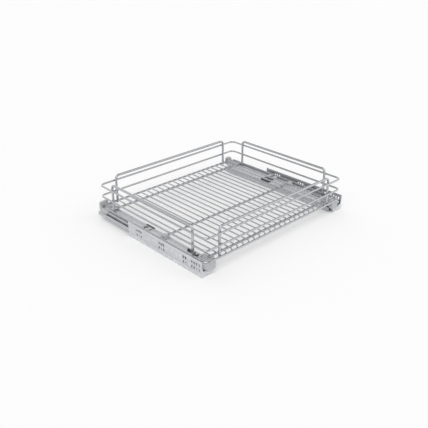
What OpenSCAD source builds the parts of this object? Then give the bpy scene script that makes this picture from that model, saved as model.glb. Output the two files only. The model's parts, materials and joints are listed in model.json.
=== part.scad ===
// Pull-out wire basket on two under-mounted, full-extension soft-close runners.
// The front of the basket faces -Y. Z = 0 is the underside of the mounting brackets.
// Runner parts are drawn once, for the left side: x from the cabinet wall inward,
// y from the front end of the runner to the back, z up. The right side is a mirror image,
// except for the hook of its rear cup.

/* [Overall] */
// Distance between the outer faces of the two mounting brackets (L)
length = 564; // [450:2:1164]
// Length of the runners (P)
runner_length = 450; // [430:5:600]
// Height from the underside of the brackets to the top of the guard loops (H)
height = 121; // [112:1:200]

/* [Basket wires] */
// Wire of the four guard loops
loop_wire_d = 7; // [5:0.5:8]
// Wire of the bottom frame
frame_wire_d = 6; // [5:0.5:7]
// Wire of the two rails
rail_wire_d = 5.5; // [4:0.5:6.5]
// Wire of the three cross wires under the floor
cross_wire_d = 7; // [6:0.5:8]
// Wire of the floor
floor_wire_d = 4; // [3:0.5:5]
// Distance between neighbouring floor wires
floor_pitch = 20.6; // [16:0.1:40]
// How far two welded wires are pressed into each other
weld_depth = 0.3; // [0.2:0.1:0.5]
// Plane of the side loops, from the outer face of the bracket
loop_side_inset = 20; // [18:0.5:26]
// Plane of the front and rear loops, from the end of the runner
loop_end_inset = 7; // [6:0.5:12]
// Legs of the front and rear loops, from the outer face of the bracket
end_loop_leg_x = 66; // [58:1:110]
// Legs of the side loops, from the end of the runner
side_loop_leg_y = 55; // [50:1:100]
// Bend radius of the loop corners, on the centre line
loop_corner_r = 11; // [9:1:20]
// Bend radius of the corners of the frame wire, on the centre line
frame_corner_r = 16; // [12:1:20]
// Bend radius of the corners of the two rails, on the centre line
rail_corner_r = 14; // [12:1:26]
// Bend radius at the ends of the floor wires, on the centre line
floor_bend_r = 4; // [3.5:0.1:4]
// Height of the lower rail, on the centre line
lower_rail_z = 68.5; // [60:0.5:75]
// Height of the upper rail, on the centre line
upper_rail_z = 101.8; // [85:0.1:104]
// Front cross wire, from the front end of the runner
front_cross_y = 21.3; // [18:0.1:24]
// Middle cross wire, from the front end of the runner
middle_cross_y = 178.7; // [160:0.1:200]
// Rear cross wire, from the rear end of the runner
rear_cross_y = 44.5; // [25:0.5:55]

/* [Mounting brackets] */
// Thickness of every sheet-metal part of the runner
sheet_t = 1.5; // [1.2:0.1:1.8]
// Height of the vertical flange
flange_h = 45; // [42:1:60]
// Length of the bracket, from the front end of the runner
bracket_length = 300; // [275:5:360]
// Width of the bottom flange
foot_w = 37; // [32:1:40]
// Height of the front lip and of its return
lip_h = 11.5; // [6:0.5:11.5]
// Height of the joggle line on the vertical flange
joggle_z = 10.5; // [8:0.5:12]
// Depth of the joggle
joggle_depth = 0.4; // [0.2:0.1:0.6]
// Diameter of the two round cabinet screw holes in each flange
screw_hole_d = 6.3; // [4:0.1:6.6]
// Distance between the two round cabinet screw holes
screw_spacing = 224; // [192:32:224]
// First round cabinet screw hole, from the front end of the runner
first_screw_y = 37; // [37:1:41]
// Height of the row of cabinet screw holes
screw_row_z = 32.5; // [30:0.5:36]
// Width of the adjusting slots
slot_w = 5; // [4:0.5:5.5]
// Height of the adjusting slots
slot_h = 9; // [8:0.5:12]
// Distance between neighbouring slots
slot_pitch = 9; // [8.5:0.5:10]
// Height of the rivet row
rivet_row_z = 19.5; // [18.5:0.5:20]
// Diameter of the rivet shanks
rivet_d = 4; // [3:0.5:5]

/* [Runner profiles] */
// Underside of the cabinet profile
profile_z = 12.5; // [12:0.5:13]
// Width of the floor of the cabinet profile
profile_w = 44.5; // [44:0.5:50]
// Height of the outer wall of the cabinet profile
outer_wall_h = 11.5; // [10:0.5:12]
// Outer face of the drawer profile, from the cabinet wall
drawer_profile_x = 7; // [6.5:0.5:8]
// Width of the drawer profile
drawer_profile_w = 34.8; // [34:0.2:36]
// Diameter of the rollers
roller_d = 4; // [3.5:0.1:4.2]
// Total running gap above and below a roller
roller_gap = 0.05; // [0.04:0.01:0.1]
// Height of the middle profile
middle_profile_h = 8.4; // [8:0.1:9]
// Gap between the middle profile and the lips that hold it down
lip_gap = 0.3; // [0.2:0.05:0.5]
// Distance between neighbouring rollers
roller_pitch = 25; // [20:1:27]
// Number of rollers in a cage
roller_count = 8; // [5:1:8]

/* [Plastic parts] */
// Wall of the corner cups
cup_wall = 2.2; // [1.8:0.1:2.4]
// Length of a corner cup along the runner
cup_length = 45; // [42:1:48]
// Width of a corner cup
cup_w = 43; // [41:0.5:44]
// Plan radius of the outer corner of a front cup
cup_corner_r = 22; // [16:1:24]
// Top of the hook of a rear cup over the bottom frame
rear_hook_top_z = 50; // [44:1:60]
// Thickness of the deck of a cup
deck_t = 2.5; // [2:0.1:2.8]
// Diameter of the screw boss of a cup
boss_d = 14; // [12:0.5:15]
// Diameter of the cup screws
cup_screw_d = 4; // [3:0.5:4]
// Clearance between a wire and the groove it sits in
groove_gap = 0.1; // [0.05:0.05:0.2]
// Diameter of the damper cylinders
damper_d = 8; // [7:0.5:8]
// Travel of the damper slides
damper_travel = 50; // [30:5:50]
// Diameter of the damper rods
damper_rod_d = 3; // [2:0.5:3]
// Diameter of the adjusting wheels
wheel_d = 12; // [10:0.5:12]
// Number of grooves round an adjusting wheel
wheel_grooves = 18; // [12:1:20]

/* [Hidden] */
$fn = 48;

// a small overlap that makes two solids of one piece into one
joint = 0.01;
// how far a cutting shape runs past the face it cuts
past = 1;

// heights of the nested profiles, from the bottom up
floor_top_z = profile_z + sheet_t;
middle_z = floor_top_z + roller_d + roller_gap;
middle_top_z = middle_z + middle_profile_h;
drawer_under_z = middle_top_z + roller_d + roller_gap;
drawer_top_z = drawer_under_z + sheet_t;

// the front lip of the bracket, which follows the round lower corner of the front cup
lip_cup_gap = 0.8;
lip_middle_gap = 0.7;
lip_ear_side_gap = 0.4;
lip_ear_gap = 0.7;
lip_return = 9.5;

// the cabinet profile
profile_front_y = 10;
profile_x = sheet_t;
profile_inner_x = profile_x + profile_w - sheet_t;
leg_front_y = 10;
leg_rear_gap = 14;
guide_x = 33.5;
guide_lip_w = 5.5;
tab_w = 7.5;
tab_length = 30;
tab_ys = [95, 200, runner_length - 120, runner_length - 55];

// the middle profile
middle_bottom_x = 4.6;
middle_bottom_w = 27.9;
middle_top_x = 10;
middle_top_w = 28.5;
middle_web_xs = [13, 24];
middle_end_gap = 20;

// the drawer profile
drawer_end_gap = 3;
drawer_lip_z = middle_top_z - sheet_t - lip_gap - sheet_t;
drawer_lip_w = 3.5;
drawer_side_z = 16.5;
drawer_inner_x = drawer_profile_x + drawer_profile_w;
drawer_trim_gap = 0.4;

// heights of the wires: the cross wires lie on the drawer profiles
cross_z = drawer_top_z + cross_wire_d / 2;
frame_z = cross_z;
floor_z = cross_z + cross_wire_d / 2 + floor_wire_d / 2 - weld_depth;
loop_top_z = height - loop_wire_d / 2;
leg_below_frame = 2;
leg_bottom_z = frame_z - leg_below_frame;
end_gap = 0.2;
floor_end_z = drawer_top_z + deck_t + end_gap;

// the frame wire runs outside the loop legs, welded to them, and so do the rails
frame_out = (loop_wire_d + frame_wire_d) / 2 - weld_depth;
rail_out = (loop_wire_d + rail_wire_d) / 2 - weld_depth;
loop_x = length / 2 - loop_side_inset;
loop_y = runner_length / 2 - loop_end_inset;
end_leg_x = length / 2 - end_loop_leg_x;
side_leg_y = runner_length / 2 - side_loop_leg_y;
frame_x = loop_x + frame_out;
frame_y = loop_y + frame_out;
cross_half_length = frame_x - frame_wire_d / 2 + weld_depth;
floor_end_y = frame_y - (frame_wire_d + floor_wire_d) / 2 + weld_depth;
floor_half_width = length / 2 - drawer_inner_x - floor_wire_d / 2;
floor_pairs = floor(floor_half_width / floor_pitch + 0.5);
leg_gap = 0.3;
leg_near = (loop_wire_d + floor_wire_d) / 2 + leg_gap;

// the slots of the vertical flange, in groups that repeat every 32 mm or 96 mm
slot_groups = [[10, 4], [60, 2], [147, 3], [243, 3]];
screw_ys = [first_screw_y, first_screw_y + screw_spacing];
slot_ys = [for (g = slot_groups) for (k = [0 : g[1] - 1]) g[0] + k * slot_pitch];
adjusting_ys = [for (y = slot_ys)
    if (min([for (s = screw_ys) abs(s - y)]) > (screw_hole_d + slot_w) / 2) y];
rivet_ys = [19, 60, 156, 252];
rivet_head_d = 7;
rivet_head_t = 1.2;
rivet_gap = 0.05;
lower_slot_w = 4.5;
lower_slot_h = 7;

// the roller cages
cage_t = 1.7;
cage_window_gap = 0.3;
lower_cage_x = 7;
lower_cage_w = 22;
lower_roller_x = 11;
lower_roller_w = 14;
lower_cage_y = 125;
upper_cage_x = 12;
upper_cage_w = 24;
upper_roller_x = 15;
upper_roller_w = 18;
upper_cage_y = 135;
cage_margin = 7.5;
cage_length = (roller_count - 1) * roller_pitch + 2 * cage_margin;

// the corner cups, carried on top of the drawer profile
cup_x = 4.3;
cup_front_y = -1.2;
cup_small_r = 4;
cup_skirt_z = 25.5;
cup_front_skirt_z = profile_z;
cup_front_depth = 10.4;
cup_front_outer_r = 22;
cup_front_inner_r = 6;
rear_cup_end_y = -2.2;
rear_cup_corner_r = 8;
rear_cup_skirt_z = middle_top_z + 1;
rear_cup_apron_z = rivet_row_z + rivet_head_d / 2 + 0.5;
rear_hook_depth = 8.2;
rear_hook_r = 7;
hook_overhang = 4.8;
hook_wire_gap = 0.5;
hook_overhang_depth = runner_length / 2 - floor_end_y - floor_wire_d / 2
    - rear_cup_end_y - hook_wire_gap;
left_hook_w = 27;
left_side_wall = 14;
right_hook_w = 18.5;
hook_side_gap = 0.3;
right_hook_x = drawer_inner_x - cup_x - hook_side_gap - right_hook_w;
boss_x = 30;
front_boss_y = 34;
rear_boss_y = 22;
boss_h = 4.6;
boss_hole_gap = 0.15;
screw_head_d = 8;
screw_head_h = 1.8;
window_rib = 2.6;
window_side = 6.5;
window_corner = 1;

// the clip that holds the middle cross wire on the drawer profile
clip_x = 20;
clip_w = 22.5;
clip_front_foot = 9;
clip_rear_foot = 17;
clip_wall = 2.2;
clip_hoop_inset = 3;

// the release lever on the front of the drawer profile
lever_x = 31;
lever_y = 52;
lever_length = 32;
lever_w = 7;
lever_t = 2.2;
lever_hub_d = 10;
lever_lift = 0.3;
lever_pad_h = 1.4;
lever_pin_d = 4;
lever_pin_head_d = 8;
lever_pin_head_t = 1.2;
lever_pin_gap = 0.05;

// the side adjuster on the drawer profile: a housing with its wheel, and a bar over the
// inner edge that ends in a plate on the inner side
adjuster_x = 18;
adjuster_w = 16.5;
adjuster_y = 238;
adjuster_length = 32;
adjuster_h = 4;
adjuster_wall = 1;
adjuster_bar_w = 3;
adjuster_bar_y = 236;
adjuster_bar_length = 35;
adjuster_bar_h = 1.2;
adjuster_arm_y = 246;
adjuster_arm_w = 14;
adjuster_plate_y = 254;
adjuster_plate_length = 32;
adjuster_plate_z = 17.5;
adjuster_plate_h = 7.5;
adjuster_plate_t = 2.2;
wheel_t = 2.2;
wheel_x = 26.5;
wheel_pin_d = 4;
wheel_pin_gap = 0.05;
wheel_groove_d = 1.2;
wheel_gap = 0.4;

// the soft-close damper under the floor of the cabinet profile
damper_x = 32;
damper_z = 7;
damper_length = 90;
damper_rear_gap = 7.5;
damper_front_y = runner_length - damper_rear_gap - damper_length;
damper_end_t = 5;
damper_housing_x = 22;
damper_housing_w = 20;
damper_housing_z = 2.2;
damper_housing_wall = 1.5;
damper_saddle = 10;
damper_bore_gap = 0.05;
damper_rod_inside = 77;
slide_length = 28;
slide_gap = 0.3;
slide_to_cylinder = 2.5;
slide_y = damper_front_y - slide_to_cylinder - slide_length;
damper_housing_front = 10;
damper_housing_y = slide_y - damper_travel - damper_housing_front;
prong_x = 36.5;
prong_w = 3;
prong_t = 3;
prong_from_end = 6;
prong_top_z = 20;
prong_slot_gap = 0.5;
prong_y = slide_y + slide_length - prong_from_end - prong_t;
catch_gap = 0.3;
catch_length = 6;
catch_z = 15.6;

module left() { translate([-length / 2, -runner_length / 2, 0]) children(); }
module right() { mirror([1, 0, 0]) left() children(); }

// mirrors a front part of the runner to its rear end
module rear() { translate([0, runner_length, 0]) mirror([0, 1, 0]) children(); }

// rods along the three directions, from a start point
module rod_x(d, l) { rotate([0, 90, 0]) cylinder(d = d, h = l); }
module rod_y(d, l) { rotate([-90, 0, 0]) cylinder(d = d, h = l); }
module rod_z(d, l) { cylinder(d = d, h = l); }

// a quarter bend in the XY plane round the origin, from +X to +Y
module bend(d, r) { rotate_extrude(angle = 90) translate([r, 0]) circle(d = d); }

// a closed ring of wire with four equal corners, x and y from the centre
module wire_ring(d, x, y, r) {
    for (sx = [0, 1], sy = [0, 1])
        mirror([sx, 0, 0]) mirror([0, sy, 0]) {
            translate([x - r, y - r, 0]) bend(d, r);
            translate([-joint, y, 0]) rod_x(d, x - r + joint);
            translate([x, -joint, 0]) rod_y(d, y - r + joint);
        }
}

// a wire loop like an upside-down U in the XZ plane
module guard_loop(half_width) {
    straight = loop_top_z - loop_corner_r;
    for (s = [0, 1])
        mirror([s, 0, 0]) {
            translate([half_width, 0, leg_bottom_z])
                rod_z(loop_wire_d, straight - leg_bottom_z);
            translate([half_width - loop_corner_r, 0, straight])
                rotate([90, 0, 0]) bend(loop_wire_d, loop_corner_r);
            translate([-joint, 0, loop_top_z])
                rod_x(loop_wire_d, half_width - loop_corner_r + joint);
        }
}

module end_loop() { guard_loop(end_leg_x); }
module side_loop() { rotate([0, 0, 90]) guard_loop(side_leg_y); }

module bottom_frame_wire() {
    color("silver") translate([0, 0, frame_z])
        wire_ring(frame_wire_d, frame_x, frame_y, frame_corner_r);
}

module lower_rail() {
    color("silver") translate([0, 0, lower_rail_z])
        wire_ring(rail_wire_d, loop_x + rail_out, loop_y + rail_out, rail_corner_r);
}

module upper_rail() {
    color("silver") translate([0, 0, upper_rail_z])
        wire_ring(rail_wire_d, loop_x + rail_out, loop_y + rail_out, rail_corner_r);
}

module cross_wire(y) {
    color("silver") translate([-cross_half_length, y - runner_length / 2, cross_z])
        rod_x(cross_wire_d, 2 * cross_half_length);
}

// half of a floor wire, its end bent down against the inside of the frame wire
module bent_half_wire() {
    straight = floor_end_y - floor_bend_r;
    translate([0, -joint, floor_z]) rod_y(floor_wire_d, straight + joint);
    translate([0, straight, floor_z - floor_bend_r])
        rotate([90, 0, 90]) bend(floor_wire_d, floor_bend_r);
    translate([0, floor_end_y, floor_end_z])
        rod_z(floor_wire_d, floor_z - floor_bend_r - floor_end_z);
}

// half of a floor wire that stops at the leg of a front or rear loop
module short_half_wire() {
    translate([0, -joint, floor_z])
        rod_y(floor_wire_d, loop_y - loop_wire_d / 2 - leg_gap + joint);
}

module floor_wires() {
    color("silver") for (k = [-floor_pairs : floor_pairs - 1]) {
        x = (k + 0.5) * floor_pitch;
        translate([x, 0, 0]) for (s = [0, 1])
            mirror([0, s, 0])
                if (abs(abs(x) - end_leg_x) < leg_near) short_half_wire();
                else bent_half_wire();
    }
}

// an upright slot through a sheet that lies in the YZ plane
module flange_slot(y, z, w, h, t) {
    translate([-past, y, z]) {
        for (s = [-1, 1])
            translate([0, 0, s * (h - w) / 2]) rod_x(w, t + 2 * past);
        translate([0, -w / 2, -(h - w) / 2]) cube([t + 2 * past, w, h - w]);
    }
}

// the front lip seen from the front: its outer part is raised up to the cup's arc, and
// a narrow ear stands beside the runner
module lip_outline() {
    arc_x = cup_x + cup_front_outer_r;
    difference() {
        union() {
            square([foot_w, lip_h]);
            square([arc_x, middle_z - lip_middle_gap]);
            square([cup_x - lip_ear_side_gap, cup_skirt_z - lip_ear_gap]);
        }
        translate([arc_x, cup_front_skirt_z + cup_front_outer_r])
            circle(r = cup_front_outer_r + lip_cup_gap);
        translate([-past, -past]) square([past + joggle_depth, flange_h]);
    }
}

// a hole for each rivet, and slots at the other places of the lower row
module lower_row(ys, t) {
    for (y = ys)
        if (min([for (r = rivet_ys) abs(r - y)]) < rivet_d / 2)
            translate([-past, y, rivet_row_z]) rod_x(rivet_d + 2 * rivet_gap, t + 2 * past);
        else
            flange_slot(y, rivet_row_z, lower_slot_w, lower_slot_h, t);
}

module mounting_bracket() {
    color("gainsboro") difference() {
        union() {
            translate([0, 0, joggle_z])
                cube([sheet_t, bracket_length, flange_h - joggle_z]);
            translate([joggle_depth, 0, 0])
                cube([sheet_t, bracket_length, joggle_z + sheet_t]);
            translate([joggle_depth, 0, 0])
                cube([foot_w - joggle_depth, bracket_length, sheet_t]);
            translate([0, sheet_t, 0]) rotate([90, 0, 0])
                linear_extrude(sheet_t) lip_outline();
            translate([foot_w - sheet_t, 0, 0]) cube([sheet_t, lip_return, lip_h]);
        }
        for (y = adjusting_ys) flange_slot(y, screw_row_z, slot_w, slot_h, sheet_t);
        for (y = screw_ys)
            translate([-past, y, screw_row_z]) rod_x(screw_hole_d, sheet_t + 2 * past);
        lower_row(slot_ys, sheet_t);
    }
}

module cabinet_profile() {
    profile_l = runner_length - profile_front_y;
    color("lightgray") difference() {
        union() {
            // floor, outer wall and the deep inner leg
            translate([profile_x, profile_front_y, profile_z])
                cube([profile_w, profile_l, sheet_t]);
            translate([profile_x, profile_front_y, profile_z])
                cube([sheet_t, profile_l, outer_wall_h]);
            translate([profile_inner_x, leg_front_y, 0])
                cube([sheet_t, runner_length - leg_rear_gap - leg_front_y, floor_top_z]);
            // guide wall with its lip over the middle profile
            translate([guide_x, profile_front_y, floor_top_z - joint])
                cube([sheet_t, profile_l,
                      middle_z + sheet_t + lip_gap + sheet_t - floor_top_z + joint]);
            translate([guide_x - guide_lip_w, profile_front_y,
                       middle_z + sheet_t + lip_gap])
                cube([guide_lip_w + sheet_t, profile_l, sheet_t]);
            // lanced tabs of the outer wall over the middle profile
            for (y = tab_ys)
                translate([profile_x, y, middle_z + sheet_t + lip_gap])
                    cube([sheet_t + tab_w, tab_length, sheet_t]);
        }
        // the lower row of the bracket goes on through the outer wall
        lower_row([for (y = slot_ys) if (y > profile_front_y + rivet_head_d / 2) y],
                  profile_x + sheet_t);
        // slot for the prong of the damper slide
        translate([prong_x - prong_slot_gap,
                   prong_y - damper_travel - prong_slot_gap, profile_z - past])
            cube([prong_w + 2 * prong_slot_gap,
                  damper_travel + prong_t + 2 * prong_slot_gap, sheet_t + 2 * past]);
    }
}

module bracket_rivets() {
    color("silver") for (y = rivet_ys)
        translate([0, y, rivet_row_z]) {
            rod_x(rivet_d, profile_x + sheet_t + joint);
            translate([profile_x + sheet_t, 0, 0]) rod_x(rivet_head_d, rivet_head_t);
        }
}

module middle_profile() {
    middle_l = runner_length - 2 * middle_end_gap;
    color("silver") translate([0, middle_end_gap, middle_z]) {
        translate([middle_bottom_x, 0, 0]) cube([middle_bottom_w, middle_l, sheet_t]);
        for (x = middle_web_xs)
            translate([x, 0, 0]) cube([sheet_t, middle_l, middle_profile_h]);
        translate([middle_top_x, 0, middle_profile_h - sheet_t])
            cube([middle_top_w, middle_l, sheet_t]);
    }
}

// what the drawer profile lacks at its outer corner, where the cup is round
module drawer_corner_trim(cup_end_y, corner_r) {
    centre_x = cup_x + corner_r;
    centre_y = cup_end_y + corner_r;
    cut_h = drawer_top_z - drawer_side_z + 2 * past;
    translate([0, 0, drawer_side_z - past]) difference() {
        translate([drawer_profile_x - past, drawer_end_gap - past, 0])
            cube([centre_x - drawer_profile_x + past,
                  centre_y - drawer_end_gap + past, cut_h]);
        translate([centre_x, centre_y, -past])
            cylinder(r = corner_r - cup_wall - drawer_trim_gap, h = cut_h + 2 * past);
    }
}

module drawer_profile() {
    drawer_l = runner_length - 2 * drawer_end_gap;
    color("gainsboro") difference() {
        translate([0, drawer_end_gap, 0]) {
            translate([drawer_profile_x, 0, drawer_under_z])
                cube([drawer_profile_w, drawer_l, sheet_t]);
            translate([drawer_profile_x, 0, drawer_lip_z])
                cube([sheet_t, drawer_l, drawer_top_z - drawer_lip_z]);
            translate([drawer_profile_x, 0, drawer_lip_z])
                cube([sheet_t + drawer_lip_w, drawer_l, sheet_t]);
            translate([drawer_inner_x - sheet_t, 0, drawer_side_z])
                cube([sheet_t, drawer_l, drawer_top_z - drawer_side_z]);
            translate([drawer_inner_x - sheet_t - drawer_lip_w, 0, drawer_lip_z])
                cube([drawer_lip_w + sheet_t, drawer_l, sheet_t]);
        }
        drawer_corner_trim(cup_front_y, cup_corner_r);
        rear() drawer_corner_trim(rear_cup_end_y, rear_cup_corner_r);
        // holes for the cup screws, the lever pin and the adjusting wheel pin
        for (y = [front_boss_y, runner_length - rear_boss_y])
            translate([boss_x, y, drawer_under_z - past])
                rod_z(cup_screw_d + 2 * boss_hole_gap, sheet_t + 2 * past);
        translate([lever_x, lever_y, drawer_under_z - past])
            rod_z(lever_pin_d + 2 * lever_pin_gap, sheet_t + 2 * past);
    }
}

// a cage strip with a window for each roller, and its rollers
module cage(x, w, y, z, roller_x, roller_w) {
    color("white") difference() {
        translate([x, y, z + (roller_d + roller_gap - cage_t) / 2])
            cube([w, cage_length, cage_t]);
        for (k = [0 : roller_count - 1])
            translate([roller_x - cage_window_gap,
                       y + cage_margin + k * roller_pitch - roller_d / 2 - cage_window_gap,
                       z])
                cube([roller_w + 2 * cage_window_gap, roller_d + 2 * cage_window_gap,
                      roller_d]);
    }
}

module rollers(y, z, roller_x, roller_w) {
    color("ivory") for (k = [0 : roller_count - 1])
        translate([roller_x, y + cage_margin + k * roller_pitch,
                   z + (roller_d + roller_gap) / 2])
            rod_x(roller_d, roller_w);
}

module lower_roller_cage() {
    cage(lower_cage_x, lower_cage_w, lower_cage_y, floor_top_z,
         lower_roller_x, lower_roller_w);
}

module upper_roller_cage() {
    cage(upper_cage_x, upper_cage_w, upper_cage_y, middle_top_z,
         upper_roller_x, upper_roller_w);
}

module lower_rollers() {
    rollers(lower_cage_y, floor_top_z, lower_roller_x, lower_roller_w);
}

module upper_rollers() {
    rollers(upper_cage_y, middle_top_z, upper_roller_x, upper_roller_w);
}

// a plate with one large and three small rounded corners
module cup_outline(w, l, big_r, small_r) {
    translate([big_r, big_r]) circle(r = big_r);
    for (p = [[w - small_r, small_r], [w - small_r, l - small_r], [small_r, l - small_r]])
        translate(p) circle(r = small_r);
    polygon([[big_r, 0], [w - small_r, 0], [w, small_r], [w, l - small_r],
             [w - small_r, l], [small_r, l], [0, l - small_r], [0, big_r]]);
}

// the walls of a cup seen from above, open towards the middle of the runner
module cup_wall_outline(corner_r) {
    difference() {
        cup_outline(cup_w, cup_length, corner_r, cup_small_r);
        translate([cup_wall, cup_wall]) cup_outline(cup_w - 2 * cup_wall, cup_length,
            corner_r - cup_wall, cup_small_r - cup_wall);
    }
}

// what a rounding of radius r takes off the lower left corner of a rectangle
module corner_cutter(r) {
    difference() {
        translate([-past, -past]) square(r + past);
        translate([r, r]) circle(r = r);
    }
}

// the deep front wall of a cup seen from the front, with round lower corners
module front_wall_outline(h) {
    difference() {
        square([cup_w, h]);
        corner_cutter(cup_front_outer_r);
        translate([cup_w, 0]) mirror([1, 0]) corner_cutter(cup_front_inner_r);
    }
}

// triangular windows on both sides of the boss
module cup_windows() {
    reach = boss_d / 2 + window_rib;
    for (s = [[-1, 1], [1, 1], [-1, -1]])
        polygon([[s[0] * window_rib / 2, s[1] * reach],
                 [s[0] * (reach - window_corner), s[1] * reach],
                 [s[0] * reach, s[1] * (reach - window_side)]]);
}

// a corner cup drawn as a front one: deck, boss and skirt, with the walls that only a
// front or only a rear cup has as children
module corner_cup(boss_y, saddle_y, end_y, corner_r, skirt_z) {
    color("dimgray") difference() {
        union() {
            translate([cup_x, end_y, drawer_top_z]) {
                linear_extrude(deck_t) cup_outline(cup_w, cup_length, corner_r, cup_small_r);
                translate([boss_x - cup_x, boss_y - end_y, 0]) rod_z(boss_d, boss_h);
            }
            translate([cup_x, end_y, skirt_z])
                linear_extrude(drawer_top_z - skirt_z + joint) cup_wall_outline(corner_r);
            translate([cup_x, end_y, 0]) children();
        }
        // groove of the frame wire
        translate([length / 2, runner_length / 2, frame_z])
            wire_ring(frame_wire_d + 2 * groove_gap, frame_x, frame_y, frame_corner_r);
        // groove of the cross wire
        translate([cup_x - past, saddle_y, cross_z])
            rod_x(cross_wire_d + 2 * groove_gap, cup_w + 2 * past);
        // hole of the screw
        translate([boss_x, boss_y, drawer_top_z - past])
            rod_z(cup_screw_d + 2 * boss_hole_gap, boss_h + 2 * past);
        // windows of the deck, between ribs that run out from the boss
        translate([boss_x, boss_y, drawer_top_z - past])
            linear_extrude(deck_t + 2 * past) cup_windows();
    }
}

// a front cup has a deep front wall in front of the cabinet profile
module front_cup() {
    deep_h = cup_skirt_z - cup_front_skirt_z + joint;
    corner_cup(front_boss_y, front_cross_y, cup_front_y, cup_corner_r, cup_skirt_z)
        translate([0, 0, cup_front_skirt_z]) intersection() {
            linear_extrude(deep_h) cup_wall_outline(cup_corner_r);
            translate([0, cup_front_depth, 0]) rotate([90, 0, 0])
                linear_extrude(cup_front_depth) front_wall_outline(deep_h);
        }
}

// a rear cup hooks over the bottom frame and has an apron on its outer side
module rear_cup(hook_x, hook_w, side_wall) {
    hook_h = rear_hook_top_z - drawer_top_z;
    rear() corner_cup(rear_boss_y, rear_cross_y, rear_cup_end_y, rear_cup_corner_r,
                      rear_cup_skirt_z) {
        translate([0, 0, drawer_top_z]) intersection() {
            linear_extrude(hook_h)
                cup_outline(cup_w, cup_length, rear_cup_corner_r, cup_small_r);
            union() {
                hook(hook_x, hook_w, hook_h, rear_hook_depth);
                hook(hook_x, hook_w + hook_overhang, hook_h, hook_overhang_depth);
            }
        }
        if (side_wall > 0)
            translate([0, 0, drawer_top_z]) linear_extrude(hook_h - rear_hook_r)
                intersection() {
                    cup_wall_outline(rear_cup_corner_r);
                    square([cup_wall, side_wall]);
                }
        translate([0, rear_cup_corner_r, rear_cup_apron_z])
            cube([cup_wall, cup_length - rear_cup_corner_r - cup_small_r,
                  rear_cup_skirt_z - rear_cup_apron_z + joint]);
    }
}

// a block of the hook, with round upper corners
module hook(x, w, h, depth) {
    translate([x, depth, 0]) rotate([90, 0, 0]) linear_extrude(depth) {
        square([w, h - rear_hook_r]);
        translate([rear_hook_r, 0]) square([w - 2 * rear_hook_r, h]);
        for (corner_x = [rear_hook_r, w - rear_hook_r])
            translate([corner_x, h - rear_hook_r]) circle(r = rear_hook_r);
    }
}

// the hook of the left cup starts at its outer corner, that of the right cup further in
module left_rear_cup() { rear_cup(0, left_hook_w, left_side_wall); }
module right_rear_cup() { rear_cup(right_hook_x, right_hook_w, 0); }

module cup_screws() {
    color("silver") for (y = [front_boss_y, runner_length - rear_boss_y])
        translate([boss_x, y, drawer_under_z]) {
            rod_z(cup_screw_d, sheet_t + boss_h + joint);
            translate([0, 0, sheet_t + boss_h]) rod_z(screw_head_d, screw_head_h);
        }
}

// a clip over the middle cross wire, with a foot in front of it and one behind
module wire_clip() {
    bore = cross_wire_d + 2 * groove_gap;
    hoop_d = bore + 2 * clip_wall;
    color("dimgray") translate([clip_x, middle_cross_y, 0]) difference() {
        union() {
            translate([0, -clip_front_foot, drawer_top_z])
                cube([clip_w, clip_front_foot + clip_rear_foot, clip_wall]);
            translate([clip_hoop_inset, 0, cross_z])
                rod_x(hoop_d, clip_w - 2 * clip_hoop_inset);
        }
        translate([-past, 0, cross_z]) rod_x(bore, clip_w + 2 * past);
        // the mouth, and what the hoop would have below the drawer profile's top
        translate([-past, -bore / 2, drawer_top_z - past])
            cube([clip_w + 2 * past, bore, cross_z - drawer_top_z + past]);
        translate([-past, -hoop_d, drawer_top_z - hoop_d])
            cube([clip_w + 2 * past, 2 * hoop_d, hoop_d]);
    }
}

module release_lever() {
    color("dimgray") translate([lever_x, lever_y, drawer_top_z + lever_lift])
        difference() {
            union() {
                rod_z(lever_hub_d, lever_t);
                translate([-lever_w / 2, 0, 0]) cube([lever_w, lever_length, lever_t]);
                translate([0, lever_length, 0]) rod_z(lever_w, lever_t + lever_pad_h);
            }
            translate([0, 0, -past])
                rod_z(lever_pin_d + 2 * lever_pin_gap, lever_t + 2 * past);
        }
}

module lever_pin() {
    color("silver") translate([lever_x, lever_y, drawer_under_z - lever_pin_head_t]) {
        rod_z(lever_pin_head_d, lever_pin_head_t);
        rod_z(lever_pin_d,
              lever_pin_head_t + sheet_t + lever_lift + lever_t + lever_lift + joint);
        translate([0, 0, lever_pin_head_t + sheet_t + 2 * lever_lift + lever_t])
            rod_z(lever_pin_head_d, lever_pin_head_t);
    }
}

// a low housing on top of the drawer profile, open towards the outer side
module adjuster_housing() {
    wheel_room = wheel_d + 2 * wheel_gap;
    wheel_y = adjuster_y + adjuster_length / 2;
    color("lightsteelblue") {
        difference() {
            translate([adjuster_x, adjuster_y, drawer_top_z])
                cube([adjuster_w, adjuster_length, adjuster_h]);
            translate([wheel_x, wheel_y, drawer_top_z + adjuster_wall])
                rod_z(wheel_room, adjuster_h);
            // the open side where a finger turns the wheel
            translate([adjuster_x - past, wheel_y - wheel_d / 4,
                       drawer_top_z + adjuster_wall])
                cube([wheel_x - adjuster_x + past, wheel_d / 2, adjuster_h]);
        }
        translate([wheel_x, wheel_y, drawer_top_z + adjuster_wall - joint])
            rod_z(wheel_pin_d, adjuster_h - adjuster_wall);
    }
}

// a bar on the inner edge, an arm over it and a plate against the inner side
module adjuster_bar() {
    color("dimgray") {
        translate([drawer_inner_x - adjuster_bar_w, adjuster_bar_y, drawer_top_z])
            cube([adjuster_bar_w + adjuster_plate_t, adjuster_bar_length, adjuster_bar_h]);
        translate([drawer_inner_x, adjuster_arm_y, adjuster_plate_z + adjuster_plate_h / 2])
            cube([adjuster_plate_t, adjuster_arm_w,
                  drawer_top_z + adjuster_bar_h
                  - adjuster_plate_z - adjuster_plate_h / 2]);
        translate([drawer_inner_x, adjuster_plate_y, adjuster_plate_z])
            cube([adjuster_plate_t, adjuster_plate_length, adjuster_plate_h]);
    }
}

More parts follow.
